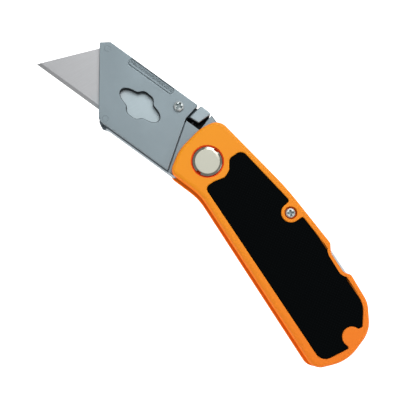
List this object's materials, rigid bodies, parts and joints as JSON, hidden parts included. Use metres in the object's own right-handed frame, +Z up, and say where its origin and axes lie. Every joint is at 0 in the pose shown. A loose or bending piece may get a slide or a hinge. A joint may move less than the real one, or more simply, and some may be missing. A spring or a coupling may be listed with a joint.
{
  "type": "folding utility knife",
  "caption": "Lock-back folding utility knife with a trapezoid blade in a metal holder, a thumb release button and a two-scale handle with rubber inserts.",
  "frame": {"origin": "centre of the bounding box's underside: the knife lies on the flat rear faces of its handle with the blade open", "axes": "+X along the handle from the blade's tip towards the butt, +Y from the cutting edge towards the spine, +Z up out of the front side"},
  "size_m": [0.1532, 0.053, 0.0141],
  "materials": {
    "scale_enamel": "satin orange powder coat",
    "grip_rubber": "matt moulded rubber with a fine dotted grain",
    "pivot_chrome": "bright nickel plate",
    "washer_bronze": "plain bronze",
    "inner_steel": "ground steel",
    "screw_zinc": "bright zinc plate",
    "spring_steel": "blued spring steel",
    "holder_metal": "satin blue-grey plated casting",
    "button_metal": "satin blue-grey plated casting",
    "blade_steel": "fine ground carbon steel with a brighter edge"
  },
  "bodies": {
    "handle": {"front_scale": "scale_enamel", "rear_scale": "scale_enamel", "front_grip": "grip_rubber", "rear_grip": "grip_rubber", "pivot_barrel": "pivot_chrome", "pivot_cap": "pivot_chrome", "front_washer": "washer_bronze", "rear_washer": "washer_bronze", "lock_pivot_sleeve": "inner_steel", "lock_screw": "screw_zinc", "butt_screw": "screw_zinc", "lock_spring": "spring_steel", "butt_spacer": "inner_steel"},
    "head": {"holder_body": "holder_metal", "cover_plate": "holder_metal", "upper_rivet": "holder_metal", "lower_rivet": "holder_metal", "lever_screw": "screw_zinc", "lever_spring": "spring_steel"},
    "lock": {"lock_bar": "inner_steel"},
    "release": {"release_lever": "button_metal", "blade_detent_spring": "spring_steel"},
    "cutter": {"blade": "blade_steel"}
  },
  "joints": [
    {"name": "head_fold", "type": "hinge", "parent": "handle", "child": "head", "pos_m": [-0.01012, 0.0055, 0.007], "axis": [0, 0, 1], "range_deg": [0, 158]},
    {"name": "lock_bar_press", "type": "hinge", "parent": "handle", "child": "lock", "pos_m": [0.02228, 0.0204, 0.007], "axis": [0, 0, 1], "range_deg": [-4, 0], "stiffness_Nm_per_rad": 1.5, "springref_deg": 3.44, "deforming": ["lock_spring"]},
    {"name": "release_press", "type": "hinge", "parent": "head", "child": "release", "pos_m": [-0.0337, 0.00874, 0.007], "axis": [0, 0, 1], "range_deg": [-6, 0], "stiffness_Nm_per_rad": 0.3, "springref_deg": 3.44, "deforming": ["lever_spring"]},
    {"name": "blade_slide", "type": "slide", "parent": "head", "child": "cutter", "axis": [-0.9382, -0.3461, 0], "range_m": [0, 0.045], "deforming": ["blade_detent_spring"]}
  ]
}
